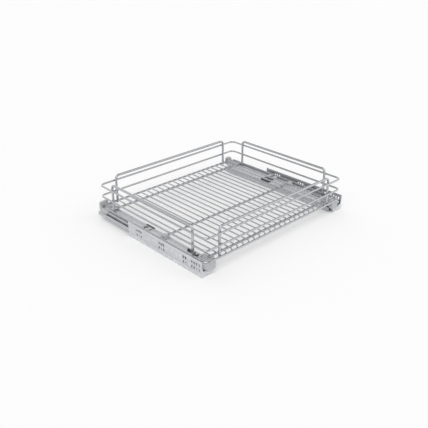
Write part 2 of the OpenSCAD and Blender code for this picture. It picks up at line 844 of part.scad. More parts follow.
module adjuster_wheel() {
    color("orange") translate([wheel_x, adjuster_y + adjuster_length / 2,
                               drawer_top_z + adjuster_wall + wheel_gap])
        difference() {
            rod_z(wheel_d, wheel_t);
            translate([0, 0, -past]) rod_z(wheel_pin_d + 2 * wheel_pin_gap,
                                           wheel_t + 2 * past);
            for (k = [0 : wheel_grooves - 1])
                rotate([0, 0, k * 360 / wheel_grooves]) translate([wheel_d / 2, 0, -past])
                    rod_z(wheel_groove_d, wheel_t + 2 * past);
        }
}

// a trough under the floor of the cabinet profile: the slide runs in its front part,
// and two saddles hold the cylinder in its rear part
module damper_housing() {
    inner_x = damper_housing_x + damper_housing_wall;
    inner_w = damper_housing_w - 2 * damper_housing_wall;
    front_y = damper_housing_y + damper_housing_wall;
    rear_y = damper_front_y + damper_length;
    bottom_z = damper_housing_z + damper_housing_wall;
    color("dimgray") difference() {
        translate([damper_housing_x, damper_housing_y, damper_housing_z])
            cube([damper_housing_w, rear_y + damper_housing_wall - damper_housing_y,
                  profile_z - damper_housing_z]);
        translate([inner_x, front_y, bottom_z])
            cube([inner_w, damper_front_y - front_y, profile_z]);
        translate([inner_x, damper_front_y + damper_saddle, bottom_z])
            cube([inner_w, damper_length - 2 * damper_saddle, profile_z]);
        translate([damper_x, damper_front_y - joint, damper_z])
            rod_y(damper_d + 2 * damper_bore_gap, damper_length + joint);
    }
}

module damper_cylinder() {
    color("silver") translate([damper_x, damper_front_y, damper_z]) difference() {
        rod_y(damper_d, damper_length);
        translate([0, -past, 0])
            rod_y(damper_rod_d + 2 * damper_bore_gap, damper_length - damper_end_t + past);
    }
}

module damper_rod() {
    color("silver") translate([damper_x, slide_y + slide_length, damper_z])
        rod_y(damper_rod_d,
              damper_front_y - slide_y - slide_length + damper_rod_inside);
}

// the slide that the closing catch pushes back, with its prong through the floor slot
module damper_slide() {
    inner_x = damper_housing_x + damper_housing_wall + slide_gap;
    inner_w = damper_housing_w - 2 * (damper_housing_wall + slide_gap);
    bottom_z = damper_housing_z + damper_housing_wall + slide_gap;
    top_z = profile_z - slide_gap;
    color("orange") {
        translate([inner_x, slide_y, bottom_z])
            cube([inner_w, slide_length, top_z - bottom_z]);
        translate([prong_x, prong_y, top_z - joint])
            cube([prong_w, prong_t, prong_top_z - top_z + joint]);
    }
}

// a block under the inner lip of the drawer profile that pushes the prong
module closing_catch() {
    color("dimgray") translate([prong_x, prong_y - catch_gap - catch_length, catch_z])
        cube([drawer_inner_x - sheet_t - prong_x, catch_length, drawer_lip_z - catch_z]);
}

bottom_frame_wire();
floor_wires();
cross_wire(front_cross_y);  // front_cross_wire
cross_wire(middle_cross_y);  // middle_cross_wire
cross_wire(runner_length - rear_cross_y);  // rear_cross_wire
lower_rail();
upper_rail();
translate([-loop_x, 0, 0]) side_loop();  // left_guard_loop
translate([loop_x, 0, 0]) side_loop();  // right_guard_loop
translate([0, -loop_y, 0]) end_loop();  // front_guard_loop
translate([0, loop_y, 0]) end_loop();  // rear_guard_loop
left() mounting_bracket();  // left_mounting_bracket
right() mounting_bracket();  // right_mounting_bracket
left() cabinet_profile();  // left_cabinet_profile
right() cabinet_profile();  // right_cabinet_profile
left() bracket_rivets();  // left_bracket_rivets
right() bracket_rivets();  // right_bracket_rivets
left() middle_profile();  // left_middle_profile
right() middle_profile();  // right_middle_profile
left() drawer_profile();  // left_drawer_profile
right() drawer_profile();  // right_drawer_profile
left() lower_roller_cage();  // left_lower_roller_cage
right() lower_roller_cage();  // right_lower_roller_cage
left() lower_rollers();  // left_lower_rollers
right() lower_rollers();  // right_lower_rollers
left() upper_roller_cage();  // left_upper_roller_cage
right() upper_roller_cage();  // right_upper_roller_cage
left() upper_rollers();  // left_upper_rollers
right() upper_rollers();  // right_upper_rollers
left() front_cup();  // left_front_cup
right() front_cup();  // right_front_cup
left() left_rear_cup();
right() right_rear_cup();
left() cup_screws();  // left_cup_screws
right() cup_screws();  // right_cup_screws
left() wire_clip();  // left_wire_clip
right() wire_clip();  // right_wire_clip
left() release_lever();  // left_release_lever
right() release_lever();  // right_release_lever
left() lever_pin();  // left_lever_pin
right() lever_pin();  // right_lever_pin
left() adjuster_housing();  // left_adjuster_housing
right() adjuster_housing();  // right_adjuster_housing
left() adjuster_bar();  // left_adjuster_bar
right() adjuster_bar();  // right_adjuster_bar
left() adjuster_wheel();  // left_adjuster_wheel
right() adjuster_wheel();  // right_adjuster_wheel
left() damper_housing();  // left_damper_housing
right() damper_housing();  // right_damper_housing
left() damper_cylinder();  // left_damper_cylinder
right() damper_cylinder();  // right_damper_cylinder
left() damper_rod();  // left_damper_rod
right() damper_rod();  // right_damper_rod
left() damper_slide();  // left_damper_slide
right() damper_slide();  // right_damper_slide
left() closing_catch();  // left_closing_catch
right() closing_catch();  // right_closing_catch
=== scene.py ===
import json
import math
import random

import bmesh
import bpy
from bpy.props import FloatProperty, FloatVectorProperty, IntProperty, PointerProperty
from mathutils import Matrix, Vector


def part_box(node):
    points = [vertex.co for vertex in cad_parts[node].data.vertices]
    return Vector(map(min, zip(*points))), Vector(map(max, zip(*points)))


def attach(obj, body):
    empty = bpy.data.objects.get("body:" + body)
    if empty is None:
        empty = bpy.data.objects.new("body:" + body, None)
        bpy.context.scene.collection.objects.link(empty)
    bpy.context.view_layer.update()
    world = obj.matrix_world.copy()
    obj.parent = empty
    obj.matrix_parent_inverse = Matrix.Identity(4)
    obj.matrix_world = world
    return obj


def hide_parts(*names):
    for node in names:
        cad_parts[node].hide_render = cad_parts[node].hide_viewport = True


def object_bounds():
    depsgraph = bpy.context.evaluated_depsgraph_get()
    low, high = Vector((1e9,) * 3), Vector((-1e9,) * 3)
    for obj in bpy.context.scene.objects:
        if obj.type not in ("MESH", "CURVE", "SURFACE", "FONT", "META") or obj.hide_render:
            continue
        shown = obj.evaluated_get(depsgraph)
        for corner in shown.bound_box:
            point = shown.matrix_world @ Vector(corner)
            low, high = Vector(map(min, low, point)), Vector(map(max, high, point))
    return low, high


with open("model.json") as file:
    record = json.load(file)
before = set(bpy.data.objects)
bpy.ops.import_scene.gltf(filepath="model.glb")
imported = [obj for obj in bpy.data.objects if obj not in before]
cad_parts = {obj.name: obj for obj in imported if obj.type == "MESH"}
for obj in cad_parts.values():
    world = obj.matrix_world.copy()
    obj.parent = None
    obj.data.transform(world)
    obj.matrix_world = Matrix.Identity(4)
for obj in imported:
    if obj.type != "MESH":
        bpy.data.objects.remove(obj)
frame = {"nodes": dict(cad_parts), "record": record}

bl_info = {
    "name": "Pull-out basket",
    "version": (1, 0, 0),
    "blender": (4, 5, 0),
    "location": "3D View > Sidebar > Basket",
    "description": "Finishes, welds and fasteners of a wire basket on telescopic runners",
    "category": "Object",
}

# Metres throughout, in the frame of the packed part: +Z is up and the basket pulls out
# along -Y. Wires and sheet parts come with the frame; this script rounds their edges,
# adds the welds and fasteners, and gives every piece its finish.

CAD_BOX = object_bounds()
MM = 0.001
SIDES = ("left", "right")
X_AXIS = Vector((1, 0, 0))
Y_AXIS = Vector((0, 1, 0))
Z_AXIS = Vector((0, 0, 1))
BODY_OF_NODE = {
    node: body
    for body, nodes in frame["record"]["behaviour"]["bodies"].items()
    for node in nodes
}
SEAM_PLACES = {"bottom_frame_wire": 0.112, "lower_rail": 0.094, "upper_rail": 0.104}
CLOSED_TIP = 0.01 * MM
SLOT_OF_NODE = {row["node"]: row["material_slot"] for row in frame["record"]["subparts"]}


# Sizes and colours that a user would change


def length(name, description, millimetres):
    """A length of a property group."""
    return FloatProperty(name=name, description=description, default=millimetres * MM,
                         unit="LENGTH")


def colour(name, description, default):
    """A colour of a property group."""
    return FloatVectorProperty(name=name, description=description, default=default,
                               subtype="COLOR", size=3)


class WeldSizes(bpy.types.PropertyGroup):
    """Welds between the wires of the basket"""

    floor_wires: IntProperty(
        name="Floor wires", description="Number of floor wires", default=24, min=2)
    floor_wire: length("Floor wire", "Diameter of a floor wire", 4)
    sunk: length("Sunk", "How far two welded wires are pressed into each other", 0.3)
    waist: FloatProperty(
        name="Waist", description="Thinnest part of a weld as a share of the wire's radius",
        default=0.74, subtype="FACTOR")
    flare: length("Flare", "How far a weld spreads along each wire", 1.1)
    unevenness: FloatProperty(
        name="Unevenness", description="How much welds differ from each other",
        default=0.12, subtype="FACTOR")
    seam: length("Seam", "How far the closing seam of a ring of wire stands out", 0.22)


class SheetSizes(bpy.types.PropertyGroup):
    """Sheet-metal and rolled parts of the runners"""

    bracket_edge: length("Bracket edge", "Rounding of the edges of brackets and profiles", 0.35)
    line_height: length("Pressed line", "Height of the pressed line of the brackets", 14.2)
    line_depth: length("Line depth", "Depth of the pressed line", 1.1)
    line_radius: length("Line radius", "Radius of the bottom of the pressed line", 1.3)


class PlasticSizes(bpy.types.PropertyGroup):
    """Moulded parts"""

    cup_edge: length("Cup edge", "Rounding of the edges of the corner cups", 0.5)
    small_edge: length("Small edge", "Rounding of clips, levers and housings", 0.35)
    cage_edge: length("Cage edge", "Rounding of roller cages and rollers", 0.2)
    grip_ridges: IntProperty(
        name="Grip ridges", description="Ridges on the thumb pad of a release lever",
        default=4, min=1)
    grip_height: length("Grip height", "Height of a grip ridge", 0.5)


class FastenerSizes(bpy.types.PropertyGroup):
    """Screws, rivets and pins"""

    screw_shank: length("Screw shank", "Diameter of the cup screws", 4)
    screw_head: length("Screw head", "Height of the head of a cup screw", 1.8)
    recess_width: length("Recess width", "Width of the cross recess of a screw", 1.1)
    recess_depth: length("Recess depth", "Depth of the cross recess of a screw", 1.2)
    rivet_shank: length("Rivet shank", "Diameter of the bracket rivets", 4)
    rivet_head: length("Rivet head", "Height of a rivet head", 1.2)
    rivet_rows: FloatVectorProperty(
        name="Rivet places", description="Rivets, from the front end of the bracket",
        size=4, default=(19 * MM, 60 * MM, 156 * MM, 252 * MM), unit="LENGTH")
    pin_shank: length("Pin shank", "Diameter of the lever pins", 4)
    damper_bore: length("Damper bore", "Bore of the damper cylinders", 3.1)


class FinishColours(bpy.types.PropertyGroup):
    """Colours of the finishes, as linear values"""

    chrome: colour("Chrome", "Plated wires", (0.50, 0.51, 0.53))
    bracket: colour(
        "Bracket zinc", "Zinc-plated brackets and drawer profiles", (0.64, 0.65, 0.67))
    profile: colour("Profile zinc", "Zinc-plated rolled profiles", (0.50, 0.51, 0.53))
    fastener: colour("Fastener zinc", "Bright screws, rivets, pins and rods", (0.48, 0.49, 0.51))
    cup: colour("Cup plastic", "Light grey moulded parts", (0.56, 0.57, 0.58))
    latch: colour("Latch plastic", "Dark moulded parts", (0.035, 0.036, 0.040))
    wheel: colour("Wheel plastic", "Adjusting wheels", (0.045, 0.046, 0.050))
    roller: colour("Roller plastic", "Natural white rollers", (0.72, 0.72, 0.69))
    dust: colour("Dust", "Fine dust on upward faces", (0.52, 0.51, 0.49))


class StageSizes(bpy.types.PropertyGroup):
    """Camera, floor and lamps"""

    camera_place: FloatVectorProperty(
        name="Camera place", description="Where the camera stands",
        subtype="TRANSLATION", size=3, default=(-1.10277, -1.14282, 0.79093), unit="LENGTH")
    camera_azimuth: FloatProperty(
        name="Azimuth", description="Turn of the view about the vertical",
        default=math.radians(-43.19), subtype="ANGLE")
    camera_elevation: FloatProperty(
        name="Elevation", description="Height of the view above the horizon",
        default=math.radians(26.54), subtype="ANGLE")
    camera_roll: FloatProperty(
        name="Roll", description="Turn of the view about its own axis",
        default=math.radians(-0.195), subtype="ANGLE")
    camera_lens: FloatProperty(
        name="Focal length", description="Focal length on a 36 mm sensor, in millimetres",
        default=50.2)
    floor_size: FloatProperty(
        name="Floor", description="Side of the floor", default=60.0, unit="LENGTH")
    floor_colour: colour("Floor colour", "Colour of the pale floor", (0.80, 0.80, 0.80))
    floor_lift: FloatProperty(
        name="Floor lift", description="Light added where the camera sees the floor",
        default=0.21)
    key_strength: FloatProperty(
        name="Key", description="Strength of the lamp from the front left", default=1.15)
    fill_strength: FloatProperty(
        name="Fill", description="Strength of the lamp from the right", default=0.40)
    back_strength: FloatProperty(
        name="Back", description="Strength of the lamp from behind", default=0.45)
    lamp_spread: FloatProperty(
        name="Lamp spread", description="Width of the lamps as seen from the object",
        default=math.radians(55), subtype="ANGLE")
    sky_strength: FloatProperty(
        name="Sky", description="Strength of the even light from all round", default=0.50)
    sky_top: FloatProperty(
        name="Sky top", description="Brightness overhead that polished metal reflects",
        default=0.16)


# Meshes


def add_piece(name, mesh, body, material):
    """A new object that rides on a body, with the given material."""
    piece = bpy.data.objects.new(name, mesh)
    bpy.context.scene.collection.objects.link(piece)
    mesh.materials.clear()
    mesh.materials.append(material)
    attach(piece, body)
    return piece


def mesh_from(work, name, sharp_angle=50):
    """A mesh with smooth faces and sharp edges where they meet at more than an angle."""
    bmesh.ops.recalc_face_normals(work, faces=work.faces)
    mesh = bpy.data.meshes.new(name)
    work.to_mesh(mesh)
    work.free()
    mesh.shade_smooth()
    mesh.set_sharp_from_angle(angle=math.radians(sharp_angle))
    return mesh


def rounded_mesh(node, radius, segments=3):
    """The shape of a node with its sharp edges rounded."""
    work = bmesh.new()
    work.from_mesh(frame["nodes"][node].data)
    bmesh.ops.remove_doubles(work, verts=work.verts, dist=0.001 * MM)
    bmesh.ops.dissolve_limit(work, angle_limit=math.radians(0.5),
                             verts=work.verts, edges=work.edges)
    sharp = [edge for edge in work.edges
             if edge.is_manifold and edge.calc_face_angle() > math.radians(32)]
    bmesh.ops.bevel(work, geom=sharp, offset=radius, offset_type="OFFSET",
                    segments=segments, profile=0.5, affect="EDGES", clamp_overlap=True)
    return mesh_from(work, node + "_rounded")


def round_node(node, radius, material, cutter=None):
    """A rounded piece that stands for a node, without what lies inside a cutter."""
    mesh = rounded_mesh(node, radius)
    if cutter:
        mesh = carve(mesh, cutter)
    piece = add_piece(node + "_rounded", mesh, BODY_OF_NODE[node],
                      material)
    normals = piece.modifiers.new("Flat faces stay flat", "WEIGHTED_NORMAL")
    normals.keep_sharp = True
    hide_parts(node)
    return piece


def turned_node(node, mesh, material):
    """A turned piece that stands for a node."""
    piece = add_piece(node + "_turned", mesh, BODY_OF_NODE[node],
                      material)
    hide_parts(node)


def finish_node(node, material):
    """Gives a node that keeps its own shape its finish."""
    slots = frame["nodes"][node].data.materials
    for index in range(len(slots)):
        slots[index] = material


def ring_points(work, centre, first, second, radii, count, wobble=None):
    """A ring of vertices round a centre, with a radius along each of two directions."""
    ring = []
    for index in range(count):
        turn = math.tau * index / count
        swell = wobble[index] if wobble else 1.0
        offset = (first * radii[0] * math.cos(turn) + second * radii[1] * math.sin(turn))
        ring.append(work.verts.new(centre + offset * swell))
    return ring


def join_rings(work, rings):
    """Faces between neighbouring rings, and one face over each end."""
    count = len(rings[0])
    for lower, upper in zip(rings, rings[1:]):
        for index in range(count):
            after = (index + 1) % count
            work.faces.new((lower[index], lower[after], upper[after], upper[index]))
    work.faces.new(rings[0][::-1])
    work.faces.new(rings[-1])


def lathe(work, start, axis, outline, count=40):
    """A turned shape: an outline of (radius, height) pairs round an axis."""
    first = Vector((axis.y, axis.z, axis.x))
    second = axis.cross(first)
    rings = [ring_points(work, start + axis * height, first, second, (radius, radius), count)
             for radius, height in outline if radius > 0]
    join_rings(work, rings)


def dome(radius, base, rise, steps, first=1):
    """The outline of a domed head: a quarter of an ellipse from the rim to the top."""
    turns = [math.radians(90 * step / steps) for step in range(first, steps + 1)]
    return [(max(radius * math.cos(turn), CLOSED_TIP), base + rise * math.sin(turn))
            for turn in turns]


def prism(work, centre, half_x, half_y, low, high, taper):
    """A tapered block along Z, narrower at its low end by a share."""
    corners = ((-1, -1), (1, -1), (1, 1), (-1, 1))
    rings = []
    for height, share in ((low, 1 - taper), (high, 1.0)):
        rings.append([work.verts.new(centre + Vector((sx * half_x * share, sy * half_y * share,
                                                      height))) for sx, sy in corners])
    join_rings(work, rings)


def carve(mesh, cutter_mesh):
    """The mesh without what lies inside the cutter."""
    body = bpy.data.objects.new("carved", mesh)
    cutter = bpy.data.objects.new("cutter", cutter_mesh)
    for item in (body, cutter):
        bpy.context.scene.collection.objects.link(item)
    cut = body.modifiers.new("Cut", "BOOLEAN")
    cut.operation = "DIFFERENCE"
    cut.solver = "EXACT"
    cut.object = cutter
    bpy.context.view_layer.update()
    carved = bpy.data.meshes.new_from_object(
        body.evaluated_get(bpy.context.evaluated_depsgraph_get()))
    for item in (body, cutter):
        bpy.data.objects.remove(item)
    carved.shade_smooth()
    carved.set_sharp_from_angle(angle=math.radians(35))
    return carved


# Shader node groups


def put(tree, socket, value):
    """Links a socket to the value if that is a socket, and sets it otherwise."""
    if isinstance(value, bpy.types.NodeSocket):
        tree.links.new(value, socket)
    else:
        socket.default_value = value


def add_node(tree, kind, inputs=None, **settings):
    """A node with its settings and inputs."""
    node = tree.nodes.new(kind)
    for key, value in settings.items():
        setattr(node, key, value)
    for key, value in (inputs or {}).items():
        put(tree, node.inputs[key], value)
    return node


def calculate(tree, operation, first, second=0.0, third=0.0):
    """The result of a math node."""
    node = add_node(tree, "ShaderNodeMath", {0: first, 1: second, 2: third},
                    operation=operation)
    return node.outputs[0]


def new_group(name, inputs, outputs):
    """An empty node group with named inputs and outputs."""
    group = bpy.data.node_groups.new(name, "ShaderNodeTree")
    kinds = {"value": "NodeSocketFloat", "colour": "NodeSocketColor",
             "vector": "NodeSocketVector"}
    for label, kind, default in inputs:
        socket = group.interface.new_socket(label, in_out="INPUT", socket_type=kinds[kind])
        socket.default_value = default
    for label, kind in outputs:
        group.interface.new_socket(label, in_out="OUTPUT", socket_type=kinds[kind])
    return group, group.nodes.new("NodeGroupInput").outputs, group.nodes.new("NodeGroupOutput")


def place_of(tree):
    """The place on the object, in metres."""
    return add_node(tree, "ShaderNodeTexCoord").outputs["Object"]


def noise(tree, scale, detail=3.0, roughness=0.55, vector=None):
    """A noise value from 0 to 1."""
    node = add_node(tree, "ShaderNodeTexNoise", {
        "Vector": vector or place_of(tree), "Scale": scale, "Detail": detail,
        "Roughness": roughness})
    return node.outputs["Fac"]


def build_mottle():
    """Slow changes of tone and gloss over a surface."""
    group, given, result = new_group("Mottle", [
        ("Colour", "colour", (0.5, 0.5, 0.5, 1)), ("Roughness", "value", 0.3),
        ("Tone Change", "value", 0.1), ("Gloss Change", "value", 0.1),
        ("Scale", "value", 40.0)], [("Colour", "colour"), ("Roughness", "value")])
    slow = calculate(group, "SUBTRACT", noise(group, given["Scale"]), 0.5)
    quick_scale = calculate(group, "MULTIPLY", given["Scale"], 3.7)
    quick = calculate(group, "SUBTRACT", noise(group, quick_scale, detail=5.0), 0.5)
    tone = calculate(group, "MULTIPLY_ADD", slow, given["Tone Change"], 1.0)
    shade = add_node(group, "ShaderNodeHueSaturation",
                     {"Value": tone, "Color": given["Colour"]})
    gloss = calculate(group, "MULTIPLY_ADD", quick, given["Gloss Change"],
                      given["Roughness"])
    put(group, result.inputs["Colour"], shade.outputs["Color"])
    put(group, result.inputs["Roughness"], gloss)
    return group


def build_scratches():
    """Fine handling scratches in two directions."""
    group, given, result = new_group("Fine scratches", [
        ("Scale", "value", 900.0), ("Stretch", "value", 0.04), ("Amount", "value", 0.5)],
        [("Mask", "value"), ("Height", "value")])
    masks = []
    for turn in (math.radians(12), math.radians(-33)):
        across = add_node(group, "ShaderNodeVectorRotate", {
            "Vector": place_of(group), "Axis": (0.25, 0.1, 1.0), "Angle": turn})
        stretched = add_node(group, "ShaderNodeVectorMath", {
            0: across.outputs[0],
            1: add_node(group, "ShaderNodeCombineXYZ", {
                "X": 1.0, "Y": given["Stretch"], "Z": 1.0}).outputs[0]},
            operation="MULTIPLY")
        line = noise(group, given["Scale"], detail=2.0, vector=stretched.outputs[0])
        band = add_node(group, "ShaderNodeMapRange", {
            "Value": line, "From Min": 0.66, "From Max": 0.74, "To Min": 0.0, "To Max": 1.0})
        masks.append(band.outputs[0])
    both = calculate(group, "MAXIMUM", masks[0], masks[1])
    patches = add_node(group, "ShaderNodeMapRange", {
        "Value": noise(group, 28.0), "From Min": 0.42, "From Max": 0.68})
    worn = calculate(group, "MULTIPLY", both, patches.outputs[0])
    mask = calculate(group, "MULTIPLY", worn, given["Amount"])
    put(group, result.inputs["Mask"], mask)
    put(group, result.inputs["Height"], calculate(group, "MULTIPLY", mask, -1.0))
    return group


def build_zinc_grain():
    """The cloudy crystal pattern of zinc plating and the streaks of rolled sheet."""
    group, given, result = new_group("Zinc grain", [
        ("Scale", "value", 260.0), ("Contrast", "value", 0.2), ("Streaks", "value", 0.1)],
        [("Tone", "value"), ("Height", "value")])
    cells = add_node(group, "ShaderNodeTexVoronoi", {
        "Vector": place_of(group), "Scale": given["Scale"], "Randomness": 1.0})
    cell = add_node(group, "ShaderNodeSeparateColor", {"Color": cells.outputs["Color"]})
    crystal = calculate(group, "SUBTRACT", cell.outputs["Red"], 0.5)
    rolled = add_node(group, "ShaderNodeVectorMath", {
        0: place_of(group), 1: (1.0, 0.012, 1.0)}, operation="MULTIPLY")
    streak = calculate(group, "SUBTRACT",
                       noise(group, 1400.0, vector=rolled.outputs[0]), 0.5)
    tone = calculate(group, "MULTIPLY_ADD", crystal, given["Contrast"], 1.0)
    both = calculate(group, "MULTIPLY_ADD", streak, given["Streaks"], tone)
    put(group, result.inputs["Tone"], both)
    put(group, result.inputs["Height"], calculate(group, "MULTIPLY_ADD", streak, 0.6,
                                                  cells.outputs["Distance"]))
    return group


def build_moulded_grain():
    """The fine spark-eroded texture of a plastic mould."""
    group, given, result = new_group("Moulded grain", [
        ("Scale", "value", 2600.0)], [("Height", "value")])
    pebbles = add_node(group, "ShaderNodeTexVoronoi", {
        "Vector": place_of(group), "Scale": given["Scale"]}, feature="SMOOTH_F1")
    fine = noise(group, calculate(group, "MULTIPLY", given["Scale"], 1.9))
    put(group, result.inputs["Height"],
        calculate(group, "MULTIPLY_ADD", fine, 0.5, pebbles.outputs["Distance"]))
    return group


def build_edge_wear():
    """Where edges are rubbed, broken up by noise."""
    group, given, result = new_group("Edge wear", [
        ("Amount", "value", 0.5), ("Scale", "value", 120.0)], [("Mask", "value")])
    edges = add_node(group, "ShaderNodeMapRange", {
        "Value": add_node(group, "ShaderNodeNewGeometry").outputs["Pointiness"],
        "From Min": 0.53, "From Max": 0.62})
    broken = add_node(group, "ShaderNodeMapRange", {
        "Value": noise(group, given["Scale"], detail=6.0), "From Min": 0.4, "From Max": 0.65})
    rubbed = calculate(group, "MULTIPLY", edges.outputs[0], broken.outputs[0])
    put(group, result.inputs["Mask"], calculate(group, "MULTIPLY", rubbed, given["Amount"]))
    return group


def build_dust():
    """A thin film of dust on faces that look up."""
    group, given, result = new_group("Settled dust", [
        ("Amount", "value", 0.2), ("Scale", "value", 55.0)], [("Mask", "value")])
    normal = add_node(group, "ShaderNodeSeparateXYZ", {
        0: add_node(group, "ShaderNodeNewGeometry").outputs["Normal"]})
    upward = add_node(group, "ShaderNodeMapRange", {
        "Value": normal.outputs["Z"], "From Min": 0.35, "From Max": 1.0})
    clouds = add_node(group, "ShaderNodeMapRange", {
        "Value": noise(group, given["Scale"], detail=8.0, roughness=0.7),
        "From Min": 0.38, "From Max": 0.72})
    film = calculate(group, "MULTIPLY", upward.outputs[0], clouds.outputs[0])
    put(group, result.inputs["Mask"], calculate(group, "MULTIPLY", film, given["Amount"]))
    return group


GROUP_BUILDERS = {
    "Mottle": build_mottle,
    "Fine scratches": build_scratches,
    "Zinc grain": build_zinc_grain,
    "Moulded grain": build_moulded_grain,
    "Edge wear": build_edge_wear,
    "Settled dust": build_dust,
}


def use_group(tree, name, inputs):
    """Places a shared node group in a material, and makes the group the first time."""
    group = bpy.data.node_groups.get(name) or GROUP_BUILDERS[name]()
    return add_node(tree, "ShaderNodeGroup", inputs, node_tree=group).outputs


# Materials


def mix_colour(tree, mask, base, other):
    """One colour over another by a mask."""
    node = add_node(tree, "ShaderNodeMix", data_type="RGBA")
    put(tree, node.inputs["Factor"], mask)
    put(tree, node.inputs["A"], base)
    put(tree, node.inputs["B"], other)
    return node.outputs["Result"]


def opaque(colour):
    """A colour with full alpha."""
    return (*colour, 1.0)


def new_material(name):
    """An empty material with its output node."""
    material = bpy.data.materials.new(name)
    material.use_nodes = True
    material.node_tree.nodes.clear()
    output = material.node_tree.nodes.new("ShaderNodeOutputMaterial")
    return material, material.node_tree, output.inputs["Surface"]


def metal(name, colour, roughness, gloss_change, tone_change, scratches, dust, grain=None,
          bump=0.02, polish=1.0):
    """Plated steel. grain is (scale, contrast, streaks) of the zinc, or None for chrome.

    polish below 1 gives the surface a matt share, as passivated zinc has."""
    colours = bpy.context.scene.basket_colours
    material, tree, surface = new_material(name)
    film = use_group(tree, "Settled dust", {"Amount": dust, "Scale": 55.0})["Mask"]
    lines = use_group(tree, "Fine scratches", {"Amount": scratches})
    wear = use_group(tree, "Edge wear", {"Amount": 0.5})["Mask"]
    mottle = use_group(tree, "Mottle", {
        "Colour": opaque(colour), "Roughness": roughness, "Tone Change": tone_change,
        "Gloss Change": gloss_change, "Scale": 38.0})
    tint = mottle["Colour"]
    height = calculate(tree, "MULTIPLY_ADD", noise(tree, 420.0, detail=2.0), 0.5,
                       lines["Height"])
    if grain:
        zinc = use_group(tree, "Zinc grain", {
            "Scale": grain[0], "Contrast": grain[1], "Streaks": grain[2]})
        tint = add_node(tree, "ShaderNodeHueSaturation", {
            "Value": zinc["Tone"], "Color": tint}).outputs["Color"]
        height = calculate(tree, "MULTIPLY_ADD", zinc["Height"], 0.35, height)
    bright = mix_colour(tree, wear, tint, opaque([min(1.0, part * 1.35) for part in colour]))
    dusty = mix_colour(tree, film, bright, opaque(colours.dust))
    rough = calculate(tree, "MULTIPLY_ADD", lines["Mask"], 0.18, mottle["Roughness"])
    rough = calculate(tree, "MULTIPLY_ADD", film, 0.45, rough)
    relief = add_node(tree, "ShaderNodeBump", {
        "Strength": bump, "Distance": 0.05 * MM, "Height": height})
    shader = add_node(tree, "ShaderNodeBsdfPrincipled", {
        "Base Color": dusty, "Metallic": polish, "Roughness": rough,
        "Normal": relief.outputs["Normal"]})
    put(tree, surface, shader.outputs["BSDF"])
    return material


def plastic(name, colour, roughness, grain_scale, grain_depth, dust, wear_colour):
    """A moulded plastic with its mould texture, rubbed edges and dust."""
    colours = bpy.context.scene.basket_colours
    material, tree, surface = new_material(name)
    film = use_group(tree, "Settled dust", {"Amount": dust, "Scale": 70.0})["Mask"]
    wear = use_group(tree, "Edge wear", {"Amount": 0.6, "Scale": 160.0})["Mask"]
    lines = use_group(tree, "Fine scratches", {"Amount": 0.35, "Scale": 700.0})
    grain = use_group(tree, "Moulded grain", {"Scale": grain_scale})["Height"]
    mottle = use_group(tree, "Mottle", {
        "Colour": opaque(colour), "Roughness": roughness, "Tone Change": 0.10,
        "Gloss Change": 0.16, "Scale": 60.0})
    rubbed = mix_colour(tree, wear, mottle["Colour"], opaque(wear_colour))
    dusty = mix_colour(tree, film, rubbed, opaque(colours.dust))
    rough = calculate(tree, "MULTIPLY_ADD", film, 0.3, mottle["Roughness"])
    height = calculate(tree, "MULTIPLY_ADD", lines["Height"], 0.6, grain)
    relief = add_node(tree, "ShaderNodeBump", {
        "Strength": grain_depth, "Distance": 0.1 * MM, "Height": height})
    shader = add_node(tree, "ShaderNodeBsdfPrincipled", {
        "Base Color": dusty, "Roughness": rough, "Normal": relief.outputs["Normal"],
        "Specular IOR Level": 0.4})
    put(tree, surface, shader.outputs["BSDF"])
    return material


def chrome_finish(colours):
    """Bright plating of the wires, with its slight unevenness."""
    return metal("Chrome plating", colours.chrome, roughness=0.16, gloss_change=0.10,
                 tone_change=0.10, scratches=0.5, dust=0.10)


def bracket_finish(colours):
    """Satin zinc of the mounting brackets and drawer profiles."""
    return metal("Satin zinc", colours.bracket, roughness=0.40, gloss_change=0.14,
                 tone_change=0.16, scratches=0.7, dust=0.16,
                 grain=(240.0, 0.14, 0.10), bump=0.10, polish=0.72)


def profile_finish(colours):
    """Rolled zinc of the cabinet and middle profiles."""
    return metal("Rolled zinc", colours.profile, roughness=0.34, gloss_change=0.16,
                 tone_change=0.16, scratches=0.8, dust=0.14,
                 grain=(320.0, 0.10, 0.22), bump=0.12, polish=0.80)


def fastener_finish(colours):
    """Bright zinc of screws, rivets, pins and rods."""
    return metal("Bright zinc", colours.fastener, roughness=0.24, gloss_change=0.12,
                 tone_change=0.10, scratches=0.5, dust=0.08,
                 grain=(900.0, 0.08, 0.04), bump=0.05)


def cup_finish(colours):
    """Light grey plastic of cups, clips, cages and adjuster housings."""
    return plastic("Light grey plastic", colours.cup, roughness=0.52, grain_scale=2600.0,
                   grain_depth=0.22, dust=0.16, wear_colour=(0.66, 0.67, 0.68))


def latch_finish(colours):
    """Dark plastic of levers, adjuster bars and dampers."""
    return plastic("Dark plastic", colours.latch, roughness=0.46, grain_scale=3000.0,
                   grain_depth=0.25, dust=0.10, wear_colour=(0.09, 0.09, 0.10))


def wheel_finish(colours):
    """Smooth dark plastic of the adjusting wheels."""
    return plastic("Smooth dark plastic", colours.wheel, roughness=0.34, grain_scale=4200.0,
                   grain_depth=0.08, dust=0.08, wear_colour=(0.12, 0.12, 0.13))


def roller_finish(colours):
    """Natural white plastic of the rollers."""
    return plastic("Natural white plastic", colours.roller, roughness=0.30, grain_scale=5200.0,
                   grain_depth=0.05, dust=0.04, wear_colour=(0.76, 0.76, 0.73))


FINISHES = {
    "chrome_wire": chrome_finish,
    "bracket_steel": bracket_finish,
    "profile_steel": profile_finish,
    "fastener_steel": fastener_finish,
    "cup_plastic": cup_finish,
    "latch_plastic": latch_finish,
    "wheel_plastic": wheel_finish,
    "roller_plastic": roller_finish,
}
made_finishes = {}


